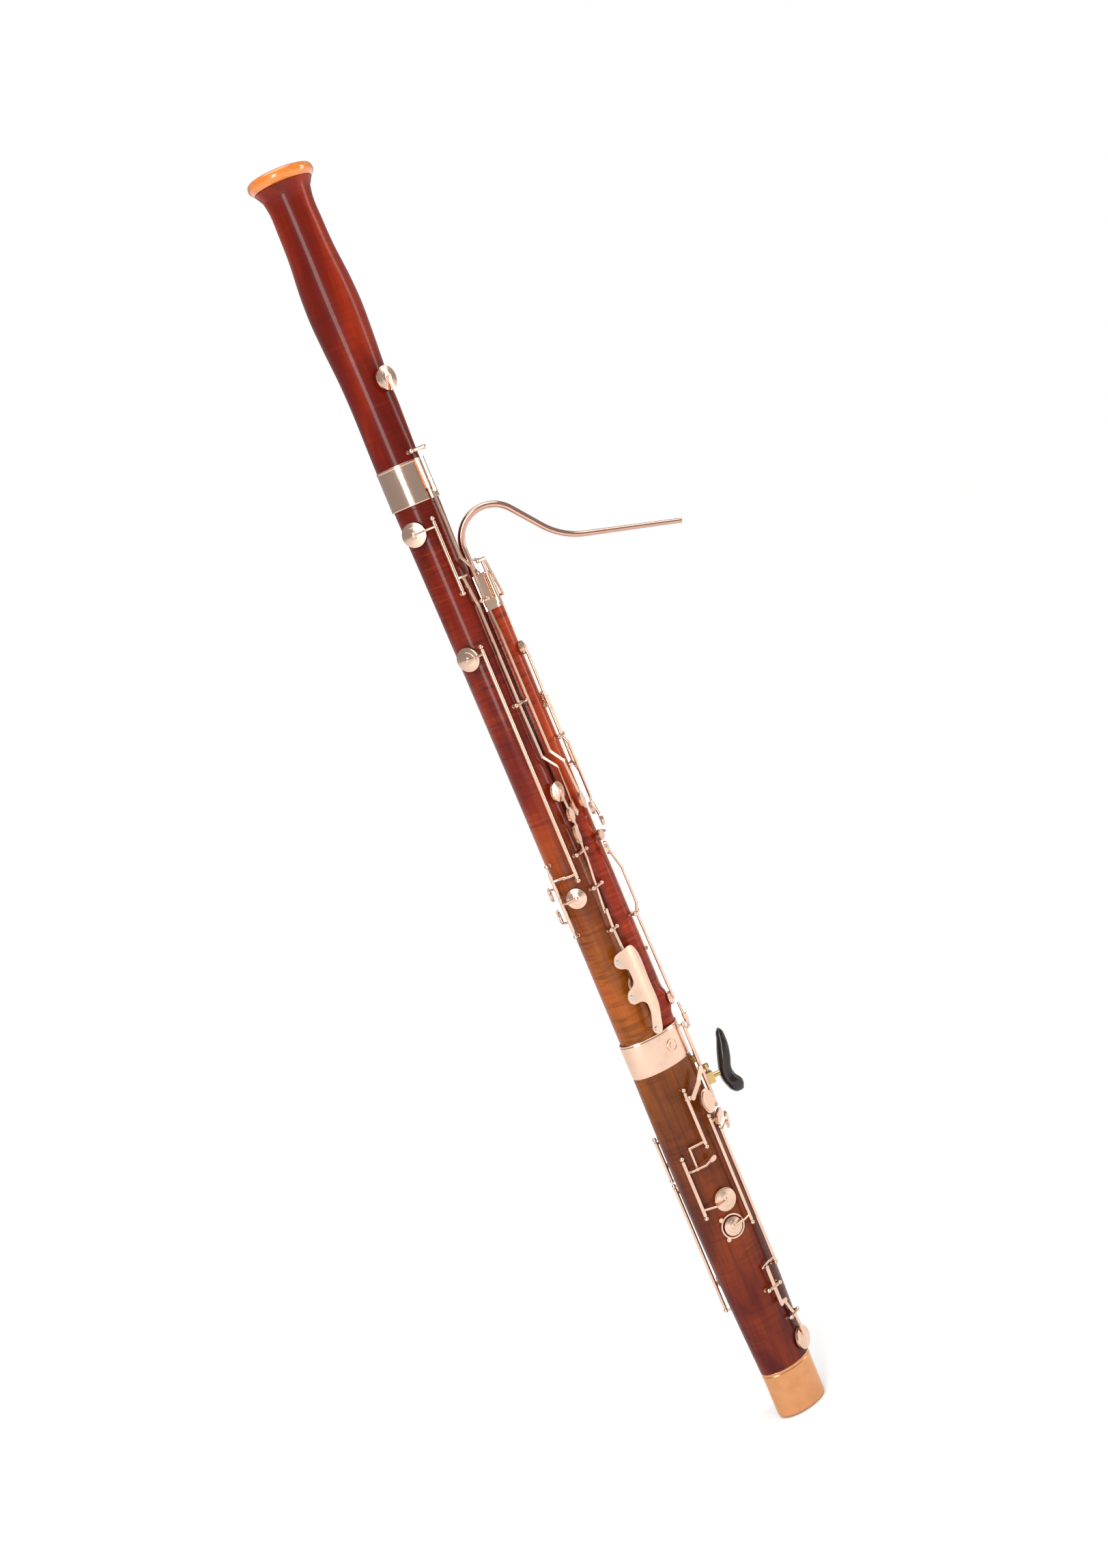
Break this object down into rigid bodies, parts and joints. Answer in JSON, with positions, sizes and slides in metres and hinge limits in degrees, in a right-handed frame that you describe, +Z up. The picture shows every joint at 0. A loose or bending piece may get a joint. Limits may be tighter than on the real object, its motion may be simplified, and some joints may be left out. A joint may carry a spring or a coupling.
{
  "type": "bassoon",
  "caption": "Full-size bassoon with red lacquered maple joints, silver-plated keywork on posts and rods, curved bocal without a reed, and a hand rest.",
  "frame": {"origin": "centre of the boot cap's flat foot", "axes": "+Z up the instrument from the boot cap to the bell; +X from the bass joint towards the wing joint; -Y towards the player, the thumb key side"},
  "size_m": [0.2495, 0.1322, 1.34],
  "materials": {
    "bell_wood": "deep red lacquered maple, high gloss",
    "bass_wood": "red-orange lacquered flamed maple, high gloss",
    "wing_wood": "orange-red tiger-striped lacquered maple, high gloss",
    "boot_wood": "red-brown lacquered maple with dark grain, high gloss",
    "bell_ring": "translucent-looking amber, polished",
    "silver": "warm silver plate, polished",
    "copper": "copper-toned plate, polished",
    "bocal_metal": "rose gold brass, polished",
    "brass": "polished brass",
    "steel": "ground steel rod",
    "cork": "natural cork",
    "pad_leather": "tan leather over felt",
    "crutch_black": "black, polished"
  },
  "bodies": {
    "body": {"bell": "bell_wood", "bell_ring": "bell_ring", "bell_sleeve": "silver", "bass_joint": "bass_wood", "bocal_socket": "silver", "boot_body": "boot_wood", "boot_band": "silver", "boot_cap": "copper", "wing_joint": "wing_wood", "wing_sleeve": "silver", "tenon_corks": "cork", "u_tube": "silver", "u_tube_gasket": "cork", "lock_bracket": "silver", "hand_rest_plate": "brass", "band_badge": "silver", "strap_ring": "silver", "key_guards": "silver", "guard_screws": "steel", "key_bumpers": "cork", "key_posts": "silver", "hinge_rods": "steel"},
    "low_b_flat_key": {"low_b_flat_key": "silver", "low_b_flat_pad": "pad_leather"},
    "b_flat_lever": {"b_flat_lever": "silver"},
    "b_lever": {"b_lever": "silver"},
    "low_b_key": {"low_b_key": "silver", "low_b_pad": "pad_leather"},
    "c_sharp_key": {"c_sharp_key": "silver", "c_sharp_pad": "pad_leather"},
    "c_sharp_touch": {"c_sharp_touch": "silver"},
    "e_flat_key": {"e_flat_key": "silver", "e_flat_pad": "pad_leather"},
    "low_c_key": {"low_c_key": "silver", "low_c_pad": "pad_leather"},
    "low_d_lever": {"low_d_lever": "silver"},
    "low_d_key": {"low_d_key": "silver", "low_d_pad": "pad_leather"},
    "high_c_key": {"high_c_key": "silver"},
    "high_a_key": {"high_a_key": "silver"},
    "wing_c_sharp_key": {"wing_c_sharp_key": "silver"},
    "whisper_key": {"whisper_key": "silver"},
    "thumb_b_flat_key": {"thumb_b_flat_key": "silver"},
    "b_flat_pad_key": {"b_flat_pad_key": "silver", "b_flat_pad": "pad_leather"},
    "thumb_f_sharp_key": {"thumb_f_sharp_key": "silver", "f_sharp_pad": "pad_leather"},
    "thumb_a_flat_key": {"thumb_a_flat_key": "silver"},
    "foot_lever": {"foot_lever": "silver"},
    "foot_key": {"foot_key": "silver", "foot_pad": "pad_leather"},
    "pancake_key": {"pancake_key": "silver"},
    "low_f_key": {"low_f_key": "silver"},
    "g_key": {"g_key": "silver"},
    "lock_pin": {"lock_pin": "silver"},
    "hand_rest_screw": {"hand_rest_screw": "brass"},
    "bocal": {"bocal_tube": "bocal_metal", "bocal_cork": "cork"},
    "hand_rest": {"hand_rest_post": "brass", "hand_rest_crutch": "crutch_black"}
  },
  "joints": [
    {"name": "b_flat_lever_turn", "type": "hinge", "parent": "body", "child": "b_flat_lever", "pos_m": [0.00161, -0.02434, 0.896], "axis": [0.9063, 0.4226, 0], "range_deg": [0, 0.9], "stiffness_Nm_per_rad": 0.08, "springref_deg": -6.88},
    {"name": "low_b_flat_turn", "type": "hinge", "parent": "body", "child": "low_b_flat_key", "pos_m": [-0.01051, -0.03217, 1.053], "axis": [0.9511, 0.309, 0], "range_deg": [-2.5, 0]},
    {"name": "b_lever_turn", "type": "hinge", "parent": "body", "child": "b_lever", "pos_m": [-0.00076, -0.02302, 0.79], "axis": [0.9063, 0.4226, 0], "range_deg": [0, 1.2], "stiffness_Nm_per_rad": 0.08, "springref_deg": -6.88},
    {"name": "low_b_turn", "type": "hinge", "parent": "body", "child": "low_b_key", "pos_m": [-0.01542, -0.02793, 0.91], "axis": [0, 0, 1], "range_deg": [-12.5, 0]},
    {"name": "c_sharp_touch_turn", "type": "hinge", "parent": "body", "child": "c_sharp_touch", "pos_m": [-0.03718, -0.00834, 0.555], "axis": [0, 0, 1], "range_deg": [-8, 0], "stiffness_Nm_per_rad": 0.08, "springref_deg": 6.88},
    {"name": "c_sharp_turn", "type": "hinge", "parent": "body", "child": "c_sharp_key", "pos_m": [-0.01945, -0.02601, 0.608], "axis": [0, 0, 1], "range_deg": [0, 9.4]},
    {"name": "e_flat_turn", "type": "hinge", "parent": "body", "child": "e_flat_key", "pos_m": [-0.03718, -0.00834, 0.555], "axis": [0, 0, 1], "range_deg": [-8, 0], "stiffness_Nm_per_rad": 0.08, "springref_deg": 6.88},
    {"name": "low_c_turn", "type": "hinge", "parent": "body", "child": "low_c_key", "pos_m": [-0.01068, -0.02584, 0.631], "axis": [0.891, 0.454, 0], "range_deg": [-3.2, 0], "stiffness_Nm_per_rad": 0.08, "springref_deg": 6.88},
    {"name": "low_d_lever_turn", "type": "hinge", "parent": "body", "child": "low_d_lever", "pos_m": [-0.00771, -0.02725, 0.594], "axis": [0.891, 0.454, 0], "range_deg": [-1.85, 0], "stiffness_Nm_per_rad": 0.08, "springref_deg": 6.88},
    {"name": "low_d_turn", "type": "hinge", "parent": "body", "child": "low_d_key", "pos_m": [-0.00674, -0.02608, 0.548], "axis": [0.891, 0.454, 0], "range_deg": [0, 2.6]},
    {"name": "high_c_turn", "type": "hinge", "parent": "body", "child": "high_c_key", "pos_m": [0.02599, -0.01936, 0.743], "axis": [0.7431, 0.6691, 0], "range_deg": [0, 2.5], "stiffness_Nm_per_rad": 0.08, "springref_deg": -6.88},
    {"name": "high_a_turn", "type": "hinge", "parent": "body", "child": "high_a_key", "pos_m": [0.03506, -0.01133, 0.712], "axis": [0.2756, 0.9613, 0], "range_deg": [0, 3], "stiffness_Nm_per_rad": 0.08, "springref_deg": -6.88},
    {"name": "wing_c_sharp_turn", "type": "hinge", "parent": "body", "child": "wing_c_sharp_key", "pos_m": [0.02885, -0.01915, 0.549], "axis": [0.6691, 0.7431, 0], "range_deg": [-2.5, 0], "stiffness_Nm_per_rad": 0.08, "springref_deg": 6.88},
    {"name": "whisper_turn", "type": "hinge", "parent": "body", "child": "whisper_key", "pos_m": [0.03651, 0.00624, 0.449], "axis": [0, 0, 1], "range_deg": [-6, 0], "stiffness_Nm_per_rad": 0.08, "springref_deg": 6.88},
    {"name": "thumb_b_flat_turn", "type": "hinge", "parent": "body", "child": "thumb_b_flat_key", "pos_m": [-0.00209, -0.02766, 0.305], "axis": [0, 0, 1], "range_deg": [0, 4.5], "stiffness_Nm_per_rad": 0.08, "springref_deg": -6.88},
    {"name": "b_flat_pad_turn", "type": "hinge", "parent": "body", "child": "b_flat_pad_key", "pos_m": [-0.02918, -0.01929, 0.237], "axis": [0, 0, 1], "range_deg": [-8.33, 0]},
    {"name": "thumb_f_sharp_turn", "type": "hinge", "parent": "body", "child": "thumb_f_sharp_key", "pos_m": [0.01392, -0.02604, 0.21], "axis": [0, 0, 1], "range_deg": [0, 9], "stiffness_Nm_per_rad": 0.08, "springref_deg": -6.88},
    {"name": "thumb_a_flat_turn", "type": "hinge", "parent": "body", "child": "thumb_a_flat_key", "pos_m": [0.0228, -0.02296, 0.158], "axis": [0, 0, 1], "range_deg": [0, 5.2], "stiffness_Nm_per_rad": 0.08, "springref_deg": -6.88},
    {"name": "foot_lever_turn", "type": "hinge", "parent": "body", "child": "foot_lever", "pos_m": [0.00059, -0.02696, 0.138], "axis": [0.9875, 0.1575, 0], "range_deg": [0, 3.3]},
    {"name": "foot_turn", "type": "hinge", "parent": "body", "child": "foot_key", "pos_m": [0.01493, -0.02294, 0.098], "axis": [0.8874, 0.4611, 0], "range_deg": [-3.7, 0]},
    {"name": "pancake_turn", "type": "hinge", "parent": "body", "child": "pancake_key", "pos_m": [0.0322, -0.0166, 0.334], "axis": [0, 0, 1], "range_deg": [-8, 0], "stiffness_Nm_per_rad": 0.08, "springref_deg": 6.88},
    {"name": "low_f_turn", "type": "hinge", "parent": "body", "child": "low_f_key", "pos_m": [-0.0339, 0.012, 0.128], "axis": [0, 0, 1], "range_deg": [-8, 0], "stiffness_Nm_per_rad": 0.08, "springref_deg": 6.88},
    {"name": "g_turn", "type": "hinge", "parent": "body", "child": "g_key", "pos_m": [-0.0339, 0.012, 0.278], "axis": [0, 0, 1], "range_deg": [-6, 0], "stiffness_Nm_per_rad": 0.08, "springref_deg": 6.88},
    {"name": "bocal_swivel", "type": "hinge", "parent": "body", "child": "bocal", "pos_m": [0.0173, 0, 0.9], "axis": [0, 0, 1], "range_deg": [-25, 25]},
    {"name": "hand_rest_screw_turn", "type": "hinge", "parent": "body", "child": "hand_rest_screw", "pos_m": [0.04287, -0.00644, 0.3613], "axis": [0, 0, 1], "continuous": true},
    {"name": "lock_pin_slide", "type": "slide", "parent": "body", "child": "lock_pin", "axis": [0, 0, 1], "range_m": [0, 0.008]},
    {"name": "hand_rest_slide", "type": "slide", "parent": "body", "child": "hand_rest", "axis": [0.9659, -0.2588, 0], "range_m": [0, 0.006]}
  ],
  "couplings": [
    {"joint": "low_b_flat_turn", "follows": "b_flat_lever_turn", "ratio": -2.7667},
    {"joint": "low_b_turn", "follows": "b_lever_turn", "ratio": -10.408},
    {"joint": "c_sharp_turn", "follows": "c_sharp_touch_turn", "ratio": -1.1738},
    {"joint": "low_d_turn", "follows": "low_d_lever_turn", "ratio": -1.4},
    {"joint": "b_flat_pad_turn", "follows": "thumb_b_flat_turn", "ratio": -1.8489},
    {"joint": "foot_lever_turn", "follows": "thumb_a_flat_turn", "ratio": 0.6327},
    {"joint": "foot_turn", "follows": "thumb_a_flat_turn", "ratio": -0.7096}
  ]
}
